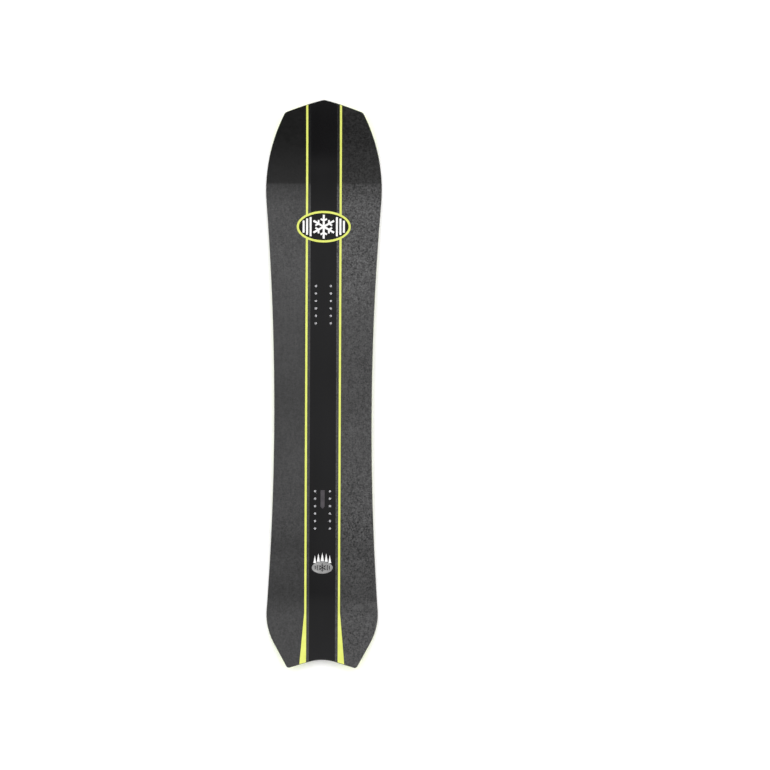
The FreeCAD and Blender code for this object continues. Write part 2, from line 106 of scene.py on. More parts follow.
CRYSTAL_REACH = 42
CRYSTAL_THICKNESS = 7
CRYSTAL_TURN = 30
BRANCH_START = 21
BRANCH_LENGTH = 13
BRANCH_THICKNESS = 6
BRANCH_LEAN = 60
BADGE_BARS = 4
BADGE_BAR_FIRST = 47
BADGE_BAR_PITCH = 12.5
BADGE_BAR_WIDTH = 7
BADGE_BAR_MARGIN = 7


# ---------------------------------------------------------------- side view


class SideLine:
    """Side-view line of a tail arc, a camber arc and a nose arc that touch smoothly."""

    def __init__(self, tail, contact, middle, nose):
        half_span = (CONTACT_FRONT + CONTACT_REAR) / 2
        arch = middle - contact
        self.radius = (half_span**2 + arch**2) / (2 * arch)
        self.centre = Vector(((CONTACT_FRONT - CONTACT_REAR) / 2, middle - self.radius))
        self.nose = self.end_arc(CONTACT_FRONT, contact, HALF_LENGTH + END_OVERRUN, nose)
        self.tail = self.end_arc(-CONTACT_REAR, contact, -HALF_LENGTH - END_OVERRUN, tail)

    def end_arc(self, contact_y, contact, end_y, end):
        start = Vector((contact_y, contact))
        normal = (start - self.centre).normalized()
        chord = Vector((end_y, end)) - start
        radius = chord.length_squared / (2 * chord.dot(normal))
        return start + normal * radius, radius

    def __call__(self, y):
        if y > CONTACT_FRONT or y < -CONTACT_REAR:
            centre, radius = self.nose if y > 0 else self.tail
            return centre.y - math.sqrt(radius**2 - (y - centre.x) ** 2)
        return self.centre.y + math.sqrt(self.radius**2 - (y - self.centre.x) ** 2)


base_line = SideLine(TAIL_RISE, CONTACT_HEIGHT, CONTACT_HEIGHT + CAMBER, NOSE_RISE)
core_line = SideLine(
    TAIL_RISE + LOWER_LAMINATE_TOP + CORE_END,
    CONTACT_HEIGHT + LOWER_LAMINATE_TOP + CORE_CONTACT,
    CONTACT_HEIGHT + CAMBER + LOWER_LAMINATE_TOP + CORE_MIDDLE,
    NOSE_RISE + LOWER_LAMINATE_TOP + CORE_END,
)


def base(above):
    """Height over the floor of a line that runs this far above the base."""
    return lambda y: base_line(y) + above


def deck(above):
    """Height over the floor of a line that runs this far above the core."""
    return lambda y: core_line(y) + above


# ---------------------------------------------------------------- outline


def polar(centre, radius, angle):
    return centre + Vector((math.cos(angle), math.sin(angle))) * radius


def sweep(centre, radius, start, end, hollow=False, longest=5, widest=math.radians(4)):
    """Points (x, y, outward x, outward y) along an arc from start up to, not including, end."""
    first = math.atan2(start.y - centre.y, start.x - centre.x)
    last = math.atan2(end.y - centre.y, end.x - centre.x)
    turn = (last - first + math.pi) % (2 * math.pi) - math.pi
    count = max(1, math.ceil(max(abs(turn) * radius / longest, abs(turn) / widest)))
    points = []
    for step in range(count):
        angle = first + turn * step / count
        spot = polar(centre, radius, angle)
        out = (centre - spot if hollow else spot - centre).normalized()
        points.append((spot.x, spot.y, out.x, out.y))
    return points


def right_side():
    """Outline points from the nose tip down the right side to the middle of the tail notch."""
    waist = Vector((WAIST_HALF_WIDTH + SIDECUT_RADIUS, -WAIST_SETBACK))

    def on_sidecut(y):
        return Vector((waist.x - math.sqrt(SIDECUT_RADIUS**2 - (y - waist.y) ** 2), y))

    front_joint = on_sidecut(SIDECUT_FRONT)
    rear_joint = on_sidecut(-SIDECUT_REAR)
    nose = front_joint - (waist - front_joint) * (NOSE_SIDE_RADIUS / SIDECUT_RADIUS)
    reach = NOSE_SIDE_RADIUS - SHOULDER_RADIUS
    shoulder_y = nose.y + math.sqrt(reach**2 - (SHOULDER_OFFSET - nose.x) ** 2)
    shoulder = Vector((SHOULDER_OFFSET, shoulder_y))
    point = Vector((0, HALF_LENGTH - NOSE_POINT_RADIUS))
    to_point = NOSE_FRONT_RADIUS - NOSE_POINT_RADIUS
    to_shoulder = NOSE_FRONT_RADIUS - SHOULDER_RADIUS
    gap = shoulder - point
    along = (to_point**2 - to_shoulder**2 + gap.length_squared) / (2 * gap.length)
    beside = math.sqrt(to_point**2 - along**2)
    way = gap.normalized()
    front = point + way * along + Vector((way.y, -way.x)) * beside
    tail = rear_joint - (waist - rear_joint) * (TAIL_SIDE_RADIUS / SIDECUT_RADIUS)
    taper = math.radians(TAIL_TAPER_ANGLE)
    taper_normal = Vector((math.cos(taper), -math.sin(taper)))
    taper_way = Vector((-math.sin(taper), -math.cos(taper)))
    taper_start = tail + taper_normal * TAIL_SIDE_RADIUS
    offset_start = taper_start - taper_normal * TAIL_CORNER_RADIUS
    corner_y = TAIL_CORNER_RADIUS - HALF_LENGTH
    corner = offset_start + taper_way * ((corner_y - offset_start.y) / taper_way.y)
    end_angle = math.radians(TAIL_END_ANGLE)
    end_normal = Vector((-math.sin(end_angle), -math.cos(end_angle)))
    corner_joint = corner + taper_normal * TAIL_CORNER_RADIUS
    flank_start = corner + end_normal * TAIL_CORNER_RADIUS
    flank_x = TAIL_NOTCH_RADIUS * math.sin(end_angle)
    flank_end = Vector((flank_x, flank_start.y + (flank_start.x - flank_x) * math.tan(end_angle)))
    notch = flank_end + end_normal * TAIL_NOTCH_RADIUS
    notch_top = notch + Vector((0, TAIL_NOTCH_RADIUS))

    point_joint = point + (point - front).normalized() * NOSE_POINT_RADIUS
    front_shoulder = shoulder + (shoulder - front).normalized() * SHOULDER_RADIUS
    side_shoulder = shoulder + (shoulder - nose).normalized() * SHOULDER_RADIUS
    points = sweep(point, NOSE_POINT_RADIUS, Vector((0, HALF_LENGTH)), point_joint)
    points += sweep(front, NOSE_FRONT_RADIUS, point_joint, front_shoulder)
    points += sweep(shoulder, SHOULDER_RADIUS, front_shoulder, side_shoulder)
    points += sweep(nose, NOSE_SIDE_RADIUS, side_shoulder, front_joint)
    points += sweep(waist, SIDECUT_RADIUS, front_joint, rear_joint, hollow=True)
    points += sweep(tail, TAIL_SIDE_RADIUS, rear_joint, taper_start)
    points += straight(taper_start, corner_joint, taper_normal)
    points += sweep(corner, TAIL_CORNER_RADIUS, corner_joint, flank_start)
    points += straight(flank_start, flank_end, end_normal)
    points += sweep(notch, TAIL_NOTCH_RADIUS, flank_end, notch_top, hollow=True)
    points.append((notch_top.x, notch_top.y, 0, -1))
    return points


def straight(start, end, normal=Vector((0, 0)), longest=5):
    """Points along a line from start up to, not including, end."""
    count = max(1, math.ceil((end - start).length / longest))
    spots = [start.lerp(end, step / count) for step in range(count)]
    return [(spot.x, spot.y, normal.x, normal.y) for spot in spots]


def mirror(points):
    """The same points on the other side of the board, in the opposite order."""
    return [(-x, y, -out_x, out_y) for x, y, out_x, out_y in reversed(points)]


RIGHT = right_side()
OUTLINE = RIGHT + mirror(RIGHT[1:-1])


def crossing(y):
    """The right side's point at this place along the board."""
    for before, after in zip(RIGHT, RIGHT[1:]):
        if before[1] >= y >= after[1]:
            share = (before[1] - y) / (before[1] - after[1])
            return tuple(a + (b - a) * share for a, b in zip(before, after))
    raise ValueError(y)


def inset(points, distance):
    """The flat loop that runs this far inside a loop of points with outward directions."""
    return [(x - out_x * distance, y - out_y * distance) for x, y, out_x, out_y in points]


# ---------------------------------------------------------------- flat shapes


def rectangle(left, right, rear, front):
    """Closed loop of a rectangle, with a point every few millimetres."""
    return slanted([(left, rear), (right, rear), (right, front), (left, front)])


def slanted(corners):
    """Closed loop through these corners, with a point every few millimetres."""
    loop = []
    for start, end in zip(corners, corners[1:] + corners[:1]):
        loop += [(x, y) for x, y, _, _ in straight(Vector(start), Vector(end))]
    return loop


def bar(middle, length, width, heading):
    """Closed loop of a bar: its middle, sizes and heading in degrees from X."""
    way = Vector((math.cos(math.radians(heading)), math.sin(math.radians(heading))))
    side = Vector((-way.y, way.x)) * (width / 2)
    way *= length / 2
    middle = Vector(middle)
    return slanted([middle - way - side, middle + way - side, middle + way + side, middle - way + side])


def oval(middle, half_width, half_length, count=120):
    """Closed loop of an ellipse."""
    angles = [2 * math.pi * step / count for step in range(count)]
    x, y = middle
    return [(x + half_width * math.cos(a), y + half_length * math.sin(a)) for a in angles]


def crystal(middle, size=1.0):
    """Loops of the bars of a six-armed snow crystal."""
    middle = Vector(middle)
    headings = [CRYSTAL_TURN + 60 * arm for arm in range(6)]
    loops = []
    for heading in headings[:3]:
        loops.append(bar(middle, 2 * CRYSTAL_REACH * size, CRYSTAL_THICKNESS * size, heading))
    for heading in headings:
        root = polar(middle, BRANCH_START * size, math.radians(heading))
        for way in (heading - BRANCH_LEAN, heading + BRANCH_LEAN):
            spot = polar(root, BRANCH_LENGTH * size / 2, math.radians(way))
            loops.append(bar(spot, BRANCH_LENGTH * size, BRANCH_THICKNESS * size, way))
    return loops


def badge_bars(middle, half_width, half_length, size=1.0, count=BADGE_BARS):
    """Loops of the plain bars at each side of the crystal, which keep a margin to the oval."""
    loops = []
    for number in range(count):
        across = (BADGE_BAR_FIRST + number * BADGE_BAR_PITCH) * size
        reach = half_length * math.sqrt(1 - (across / half_width) ** 2) - BADGE_BAR_MARGIN * size
        for side in (-1, 1):
            spot = Vector(middle) + Vector((side * across, 0))
            loops.append(bar(spot, BADGE_BAR_WIDTH * size, 2 * reach, 0))
    return loops


def within(loop, spots):
    """Which of these spots lie inside a closed loop."""
    corners = np.array(loop)
    following = np.roll(corners, -1, axis=0)
    result = np.zeros(len(spots), bool)
    for (x0, y0), (x1, y1) in zip(corners, following):
        if y0 == y1:
            continue
        spans = (spots[:, 1] >= min(y0, y1)) & (spots[:, 1] < max(y0, y1))
        reach = x0 + (spots[:, 1] - y0) * ((x1 - x0) / (y1 - y0))
        result ^= spans & (spots[:, 0] < reach)
    return result


def clear_of(loop, spots, distance):
    """Which of these spots keep a distance from the points of a loop."""
    result = np.ones(len(spots), bool)
    corners = np.array(loop)
    for first in range(0, len(corners), 64):
        part = corners[first : first + 64]
        gaps = np.hypot(*(spots[:, None, :] - part[None, :, :]).transpose(2, 0, 1))
        result &= gaps.min(axis=1) > distance
    return result


def triangles(loops, rule, across=10, along=5):
    """Triangulates the area that a rule picks from closed loops, with inner points on a grid.

    Gives the flat points, the triangles, and for each input point the number of its flat point."""
    corners = [spot for loop in loops for spot in loop]
    low = np.min(corners, axis=0)
    high = np.max(corners, axis=0)
    rows = np.arange(low[1] + along / 2, high[1], along)
    columns = np.arange(low[0] + across / 2, high[0], across)
    grid = np.array([(x, y) for y in rows for x in columns]).reshape(-1, 2)
    grid = grid[rule(*[within(loop, grid) for loop in loops])]
    for loop in loops:
        grid = grid[clear_of(loop, grid, along * 0.7)]
    edges = []
    start = 0
    for loop in loops:
        count = len(loop)
        edges += [(start + step, start + (step + 1) % count) for step in range(count)]
        start += count
    spots = [Vector(spot) for spot in corners] + [Vector(spot) for spot in grid]
    flat, _, faces, origins, _, _ = delaunay_2d_cdt(spots, edges, [], 0, 1e-6)
    flat = np.array([(spot.x, spot.y) for spot in flat])
    faces = np.array(faces)
    centres = flat[faces].mean(axis=1)
    faces = faces[rule(*[within(loop, centres) for loop in loops])]
    place = {source: number for number, sources in enumerate(origins) for source in sources}
    return flat, faces, [place[number] for number in range(len(corners))]


# ---------------------------------------------------------------- solids

SHARP = math.radians(28)


def finished(name, mesh, finish, nodes):
    """Puts a closed mesh on the board in place of some CAD nodes."""
    shell = bmesh.new()
    shell.from_mesh(mesh)
    bmesh.ops.remove_doubles(shell, verts=shell.verts, dist=1e-8)
    loose = [vertex for vertex in shell.verts if not vertex.link_faces]
    bmesh.ops.delete(shell, geom=loose, context="VERTS")
    bmesh.ops.recalc_face_normals(shell, faces=shell.faces)
    shell.to_mesh(mesh)
    shell.free()
    for face in mesh.polygons:
        face.use_smooth = True
    mesh.set_sharp_from_angle(angle=SHARP)
    mesh.materials.append(finish)
    thing = bpy.data.objects.new(name, mesh)
    bpy.context.scene.collection.objects.link(thing)
    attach(thing, "root")
    if nodes:
        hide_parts(*nodes)
    return thing


def from_parts(name, vertices, faces, finish, nodes=()):
    """A piece from points in millimetres and faces."""
    mesh = bpy.data.meshes.new(name)
    mesh.from_pydata([[c * MM for c in spot] for spot in vertices], [], faces)
    return finished(name, mesh, finish, nodes)


def plate(name, loops, rule, low, high, finish, nodes=()):
    """Upright-sided plate between two side lines, over the area that a rule picks from loops."""
    flat, faces, _ = triangles(loops, rule)
    count = len(flat)
    vertices = [(x, y, low(y)) for x, y in flat] + [(x, y, high(y)) for x, y in flat]
    shell = [tuple(reversed(face)) for face in faces.tolist()]
    shell += [tuple(number + count for number in face) for face in faces.tolist()]
    rim = {}
    for face in faces.tolist():
        for start, end in zip(face, face[1:] + face[:1]):
            if (end, start) in rim:
                del rim[end, start]
            else:
                rim[start, end] = True
    shell += [(start, end, end + count, start + count) for start, end in rim]
    return from_parts(name, vertices, shell, finish, nodes)


def layered(name, loops, profiles, finish, nodes=(), across=10):
    """Solid whose walls step through (inset, height line) levels; each loop has its own levels."""
    vertices = []
    shell = []
    ends = []
    for loop, profile in zip(loops, profiles):
        count = len(loop)
        rings = []
        for distance, height in profile:
            rings.append(range(len(vertices), len(vertices) + count))
            vertices += [(x, y, height(y)) for x, y in inset(loop, distance)]
        for lower, upper in zip(rings, rings[1:]):
            for step in range(count):
                after = (step + 1) % count
                shell.append((lower[step], lower[after], upper[after], upper[step]))
        ends.append((rings[0], rings[-1]))
    for level in (0, -1):
        rings = [pair[level] for pair in ends]
        flats = [[vertices[number][:2] for number in ring] for ring in rings]
        height = profiles[0][level][1]
        flat, faces, places = triangles(flats, lambda outer, *holes: outer & ~any_of(holes, outer), across)
        known = dict(zip(places, [number for ring in rings for number in ring]))
        for number, (x, y) in enumerate(flat):
            if number not in known:
                known[number] = len(vertices)
                vertices.append((x, y, height(y)))
        shell += [tuple(known[number] for number in face) for face in faces.tolist()]
    return from_parts(name, vertices, shell, finish, nodes)


def any_of(flags, like):
    """Where any flag is up."""
    result = np.zeros_like(like)
    for flag in flags:
        result = result | flag
    return result


def lofted(name, sections, finish, nodes=()):
    """Bar through cross-sections with equal numbers of points, capped at both ends."""
    size = len(sections[0])
    vertices = [spot for section in sections for spot in section]
    shell = []
    for step in range(len(sections) - 1):
        for corner in range(size):
            after = (corner + 1) % size
            first, second = step * size, (step + 1) * size
            shell.append((first + corner, first + after, second + after, second + corner))
    shell.append(tuple(range(size)))
    shell.append(tuple(range(len(vertices) - size, len(vertices))))
    return from_parts(name, vertices, shell, finish, nodes)


# ---------------------------------------------------------------- finishes


class Nodes:
    """Adds nodes to one tree; its textures and axes follow one kind of coordinates."""

    def __init__(self, tree, coordinates):
        self.tree = tree
        self.place = self.add("TexCoord").outputs[coordinates]

    def feed(self, socket, value):
        if isinstance(value, bpy.types.NodeSocket):
            self.tree.links.new(value, socket)
        else:
            socket.default_value = value

    def add(self, kind, inputs=(), **properties):
        node = self.tree.nodes.new("ShaderNode" + kind)
        for key, value in properties.items():
            setattr(node, key, value)
        for key, value in dict(inputs).items():
            self.feed(node.inputs[key], value)
        return node

    def axis(self, letter):
        return self.add("SeparateXYZ", {"Vector": self.place}).outputs[letter]

    def spread(self, value, low, high, to_low, to_high, smooth=False):
        kind = "SMOOTHSTEP" if smooth else "LINEAR"
        inputs = {"Value": value, "From Min": low, "From Max": high, "To Min": to_low, "To Max": to_high}
        return self.add("MapRange", inputs, interpolation_type=kind).outputs["Result"]

    def math(self, kind, first, second=0.0):
        node = self.add("Math", operation=kind)
        self.feed(node.inputs[0], first)
        self.feed(node.inputs[1], second)
        return node.outputs["Value"]


class Finish(Nodes):
    """A node material built round one Principled shader."""

    def __init__(self, name, **settings):
        self.material = bpy.data.materials.new(name)
        self.material.use_nodes = True
        super().__init__(self.material.node_tree, "Object")
        self.shader = self.tree.nodes["Principled BSDF"]
        for name, value in settings.items():
            self.set(name.replace("_", " "), value)

    def set(self, socket, value):
        self.feed(self.shader.inputs[socket], value)

    def along(self):
        """Place along the board, from 0 at the tail to 1 at the nose."""
        return self.spread(self.axis("Y"), -HALF_LENGTH * MM, HALF_LENGTH * MM, 0, 1)

    def stretched(self, x=1.0, y=1.0, z=1.0):
        """Board coordinates, scaled."""
        return self.add("Mapping", {"Vector": self.place, "Scale": (x, y, z)}).outputs["Vector"]

    def noise(self, scale, stretch=(1, 1, 1), detail=2.0, roughness=0.5):
        """Noise from 0 to 1; its scale is in cells a metre."""
        return self.add(
            "TexNoise",
            {"Vector": self.stretched(*stretch), "Scale": scale, "Detail": detail, "Roughness": roughness},
        ).outputs["Fac"]

    def cells(self, scale, stretch=(1, 1, 1)):
        """Cells of one level each, from 0 to 1."""
        cells = self.add("TexVoronoi", {"Vector": self.stretched(*stretch), "Scale": scale})
        return self.channel(cells.outputs["Color"])

    def channel(self, colour):
        """The red channel of a colour as a number."""
        return self.add("SeparateColor", {"Color": colour}).outputs["Red"]

    def wave(self, scale, direction="X", distortion=0.0, stretch=(1, 1, 1), profile="SIN"):
        return self.add(
            "TexWave",
            {"Vector": self.stretched(*stretch), "Scale": scale, "Distortion": distortion},
            bands_direction=direction,
            wave_profile=profile,
        ).outputs["Fac"]

    def ramp(self, value, stops):
        """Colour along a value; stops are (place, colour)."""
        node = self.add("ValToRGB", {"Fac": value})
        points = node.color_ramp.elements
        while len(points) < len(stops):
            points.new(0.5)
        for point, (place, colour) in zip(points, stops):
            point.position = place
            point.color = (*colour, 1)
        return node.outputs["Color"]

    def mix(self, share, first, second, kind="MIX"):
        """Mix of two colours."""
        node = self.add("Mix", data_type="RGBA", blend_type=kind)
        sockets = {"Factor": node.inputs[0], "A": node.inputs[6], "B": node.inputs[7]}
        for key, value in (("Factor", share), ("A", first), ("B", second)):
            if isinstance(value, tuple) and len(value) == 3:
                value = (*value, 1)
            self.feed(sockets[key], value)
        return node.outputs[2]

    def bump(self, height, strength, depth, below=None):
        """Surface relief; depth is in metres."""
        inputs = {"Height": height, "Strength": strength, "Distance": depth}
        if below is not None:
            inputs["Normal"] = below
        return self.add("Bump", inputs).outputs["Normal"]


def grey(level):
    return (level, level, level)


def panel_ink():
    """Dark grey printed panels with speckled flake under satin lacquer. The colour also holds painted
    shading: painted shade towards the nose tip, with a sharp step where the nose starts to rise; painted
    light rising and dipping along the body; and a lighter, grainier right half as painted sheen and
    sparkle.
    """
    ink = Finish("panel_ink", IOR=1.36)
    along = ink.along()
    # Painted shading along the board: painted light rises and dips along the body, then painted shade drops
    # to near black at the nose, where the upturned nose mirrors the dark side of the room.
    painted_shading_levels = [(0.0, 0.036), (0.09, 0.045), (0.125, 0.029), (0.19, 0.037), (0.215, 0.031), (0.25, 0.043)]
    painted_shading_levels += [(0.36, 0.047), (0.47, 0.0375), (0.60, 0.044), (0.70, 0.057), (0.81, 0.052)]
    painted_shading_levels += [(0.845, 0.031), (0.853, 0.0235), (0.8555, 0.0065), (0.91, 0.0045), (1.0, 0.002)]
    painted_shading_ramp = ink.ramp(along, [(place, (level, level, level * 1.02)) for place, level in painted_shading_levels])
    # Mask of the right half, which gets painted sheen: a lighter colour and stronger grain as painted
    # sparkle where the light glints.
    right = ink.spread(ink.axis("X"), -0.02, 0.06, 0, 1, smooth=True)
    chips = ink.math("ADD", ink.cells(370, (1, 0.5, 1)), ink.cells(420, (0.55, 1, 1)))
    speckle = ink.noise(380, detail=3.0, roughness=0.75)
    flake = ink.math("ADD", ink.math("MULTIPLY", chips, 0.3), ink.math("MULTIPLY", speckle, 0.4))
    fine = ink.noise(700, detail=2.0)
    brushed = ink.noise(160, (1, 0.12, 1), detail=3.0)
    cloud = ink.noise(9, (1, 0.5, 1), detail=3.0)
    # Grain strength: partly the topsheet's own grain, partly painted sparkle that varies along the board
    # and is stronger on the right half.
    painted_sparkle_along = [(0.0, 0.75), (0.15, 0.75), (0.25, 1.0), (0.36, 0.65), (0.60, 0.6), (0.72, 1.0), (1.0, 0.9)]
    strength = ink.channel(ink.ramp(along, [(place, grey(level)) for place, level in painted_sparkle_along]))
    strength = ink.math("MULTIPLY", strength, ink.spread(right, 0, 1, 1.3, 3.0))
    grain = ink.math("MULTIPLY", ink.math("SUBTRACT", flake, 0.5), strength)
    streak = ink.math("MULTIPLY", ink.math("SUBTRACT", brushed, 0.5), 0.4)
    drift = ink.math("MULTIPLY", ink.math("SUBTRACT", cloud, 0.5), 0.35)
    level = ink.math("ADD", ink.math("ADD", grain, streak), ink.math("ADD", drift, 1.0))
    level = ink.math("MAXIMUM", level, 0.15)
    level = ink.add("CombineXYZ", {"X": level, "Y": level, "Z": level}).outputs["Vector"]
    # Painted shading along the board, plus the painted lighter right half.
    painted_shading_and_side_light = ink.mix(1.0, painted_shading_ramp, ink.mix(right, grey(0.0), grey(0.0095)), "ADD")
    ink.set("Base Color", ink.mix(1.0, painted_shading_and_side_light, level, "MULTIPLY"))
    ink.set("Roughness", ink.spread(flake, 0.3, 0.7, 0.30, 0.44))
    ink.set("Normal", ink.bump(flake, 0.3, 0.00008, ink.bump(fine, 0.25, 0.00005)))
    return ink.material


def band_ink():
    """Smooth black printed band under gloss lacquer."""
    ink = Finish("band_ink", IOR=1.36)
    dust = ink.noise(700, detail=3.0, roughness=0.7)
    haze = ink.noise(14, (1, 0.3, 1), detail=2.0)
    along = ink.along()
    ground = ink.ramp(haze, [(0.3, (0.0022, 0.0022, 0.0026)), (0.7, (0.0045, 0.0045, 0.0052))])
    nose = ink.ramp(along, [(0.86, grey(0.0)), (0.93, (0.0022, 0.0021, 0.0020))])
    ink.set("Base Color", ink.mix(1.0, ground, nose, "ADD"))
    lacquer = ink.ramp(along, [(0.80, grey(0.5)), (0.865, grey(0.33)), (1.0, grey(0.36))])
    ink.set("Specular IOR Level", ink.channel(lacquer))
    ink.set("Roughness", ink.spread(dust, 0.3, 0.75, 0.14, 0.26))
    ink.set("Normal", ink.bump(ink.noise(260), 0.2, 0.00005))
    return ink.material


def neon_ink():
    """Screen-printed neon yellow-green."""
    ink = Finish("neon_ink", IOR=1.45)
    mesh = ink.noise(900, detail=2.0)
    tone = ink.noise(40, detail=3.0)
    ink.set("Base Color", ink.ramp(tone, [(0.3, (0.62, 0.67, 0.115)), (0.7, (0.69, 0.735, 0.165))]))
    ink.set("Roughness", ink.spread(mesh, 0.3, 0.7, 0.32, 0.46))
    ink.set("Normal", ink.bump(mesh, 0.3, 0.00004))
    return ink.material


def flat_ink(name, dark, light):
    """Opaque screen-printed ink."""
    ink = Finish(name, IOR=1.45)
    mesh = ink.noise(900, detail=2.0)
    tone = ink.noise(60, detail=3.0)
    ink.set("Base Color", ink.ramp(tone, [(0.3, dark), (0.7, light)]))
    ink.set("Roughness", ink.spread(mesh, 0.3, 0.7, 0.34, 0.5))
    ink.set("Normal", ink.bump(mesh, 0.3, 0.00004))
    return ink.material


def sintered(name, dark, light, ior):
    """Sintered base plastic: waxy, with a fine lengthwise stone grind and faint cross marks."""
    base_plastic = Finish(name, IOR=ior)
    tone = base_plastic.noise(12, (1, 0.3, 1), detail=4.0)
    speck = base_plastic.noise(500, detail=3.0, roughness=0.6)
    shade = base_plastic.ramp(tone, [(0.3, dark), (0.7, light)])
    specks = base_plastic.ramp(speck, [(0.35, grey(0.94)), (0.55, grey(1.0))])
    base_plastic.set("Base Color", base_plastic.mix(1.0, shade, specks, "MULTIPLY"))
    grind = base_plastic.noise(1400, (1, 0.015, 1), detail=2.0)
    cross = base_plastic.wave(170, "DIAGONAL", 1.5, (1, 0.25, 1))
    base_plastic.set("Roughness", base_plastic.spread(grind, 0.3, 0.7, 0.30, 0.48))
    relief = base_plastic.bump(cross, 0.05, 0.00003)
    base_plastic.set("Normal", base_plastic.bump(grind, 0.4, 0.00005, relief))
    base_plastic.set("Subsurface Weight", 0.05)
    base_plastic.set("Subsurface Scale", 0.001)
    return base_plastic.material


def steel():
    """Ground spring-steel edge with lengthwise machining lines and a few darker stains."""
    metal = Finish("ground_steel", Metallic=1.0)
    lines = metal.noise(2600, (1, 0.02, 1), detail=2.0)
    stain = metal.noise(45, (1, 0.4, 1), detail=4.0, roughness=0.65)
    metal.set("Base Color", metal.ramp(stain, [(0.35, (0.34, 0.325, 0.30)), (0.6, (0.52, 0.52, 0.52))]))
    metal.set("Roughness", metal.spread(lines, 0.3, 0.7, 0.24, 0.42))
    metal.set("Normal", metal.bump(lines, 0.35, 0.00003))
    return metal.material


def insert_metal():
    """Nickel-plated inserts, turned."""
    metal = Finish("insert_metal", Metallic=1.0)
    turned = metal.noise(2400, (1, 1, 3), detail=2.0)
    tone = metal.noise(120, detail=3.0)
    metal.set("Base Color", metal.ramp(tone, [(0.3, (0.84, 0.84, 0.86)), (0.7, (0.95, 0.95, 0.97))]))
    metal.set("Roughness", metal.spread(turned, 0.3, 0.7, 0.30, 0.46))
    metal.set("Normal", metal.bump(turned, 0.2, 0.00003))
    return metal.material


def planed_plastic(name, dark, light):
    """Sidewall and spacer plastic, planed lengthwise."""
    plastic = Finish(name, IOR=1.52)
    planing = plastic.noise(1500, (1, 0.02, 1), detail=3.0)
    chatter = plastic.wave(60, "Y", 3.0)
    tone = plastic.noise(30, (1, 0.2, 1), detail=3.0)
    share = plastic.math("ADD", plastic.math("MULTIPLY", tone, 0.6), plastic.math("MULTIPLY", planing, 0.4))
    plastic.set("Base Color", plastic.ramp(share, [(0.35, dark), (0.65, light)]))
    plastic.set("Roughness", plastic.spread(planing, 0.35, 0.65, 0.30, 0.56))
    relief = plastic.bump(chatter, 0.15, 0.00006)
    plastic.set("Normal", plastic.bump(planing, 0.6, 0.00006, relief))
    return plastic.material


def glass_laminate():
    """Glass-fibre laminate: lengthwise strands in clear resin over a smoky ground."""
    cloth = Finish("glass_laminate", IOR=1.54)
    strands = cloth.noise(1600, (1, 0.04, 1.6), detail=3.0)
    resin = cloth.noise(70, (1, 0.3, 1), detail=3.0)
    tones = [(0.32, (0.045, 0.048, 0.038)), (0.5, (0.09, 0.095, 0.072)), (0.7, (0.17, 0.175, 0.135))]
    shade = cloth.ramp(strands, tones)
    share = cloth.spread(resin, 0.35, 0.7, 0.0, 0.35)
    cloth.set("Base Color", cloth.mix(share, shade, (0.06, 0.06, 0.045)))
    cloth.set("Roughness", cloth.spread(resin, 0.3, 0.7, 0.30, 0.5))
    cloth.set("Normal", cloth.bump(strands, 0.35, 0.00006))
    return cloth.material


def wood(name, dark, light):
    """Lengthwise wood grain with growth rings and fine pores."""
    timber = Finish(name, IOR=1.4)
    rings = timber.wave(30, "X", 5.0, (1, 0.06, 1), "SAW")
    pores = timber.noise(900, (1, 0.04, 1), detail=3.0)
    drift = timber.noise(10, (1, 0.1, 1), detail=3.0)
    share = timber.math("ADD", timber.math("MULTIPLY", rings, 0.5), timber.math("MULTIPLY", drift, 0.5))
    tone = timber.ramp(share, [(0.15, dark), (0.8, light)])
    shade = timber.ramp(pores, [(0.3, grey(0.72)), (0.55, grey(1.0))])
    timber.set("Base Color", timber.mix(1.0, tone, shade, "MULTIPLY"))
    timber.set("Roughness", timber.spread(pores, 0.3, 0.7, 0.72, 0.55))
    timber.set("Normal", timber.bump(pores, 0.4, 0.0001))
    return timber.material


def rubber():
    """Black damping rubber with a matt moulded skin."""
    skin = Finish("damping_rubber", IOR=1.5)
    bloom = skin.noise(60, detail=4.0)
    pits = skin.noise(1200, detail=2.0)
    skin.set("Base Color", skin.ramp(bloom, [(0.3, (0.012, 0.012, 0.013)), (0.75, (0.030, 0.030, 0.031))]))
    skin.set("Roughness", skin.spread(pits, 0.3, 0.7, 0.68, 0.88))
    skin.set("Normal", skin.bump(pits, 0.4, 0.00008))
    return skin.material


def mat_cloth():
    """Reinforcement mat: crossed glass rovings in resin."""
    cloth = Finish("reinforcement_mat", IOR=1.54)
    warp = cloth.wave(260, "X", 0.5)
    weft = cloth.wave(260, "Y", 0.5)
    crossing_height = cloth.math("MAXIMUM", warp, weft)
    tone = cloth.noise(80, detail=3.0)
    shade = cloth.ramp(crossing_height, [(0.2, (0.30, 0.31, 0.27)), (0.9, (0.62, 0.63, 0.56))])
    cloth.set("Base Color", cloth.mix(cloth.spread(tone, 0.3, 0.7, 0.0, 0.25), shade, (0.45, 0.44, 0.36)))
    cloth.set("Roughness", cloth.spread(tone, 0.3, 0.7, 0.40, 0.58))
    cloth.set("Normal", cloth.bump(crossing_height, 0.5, 0.00015))
    return cloth.material


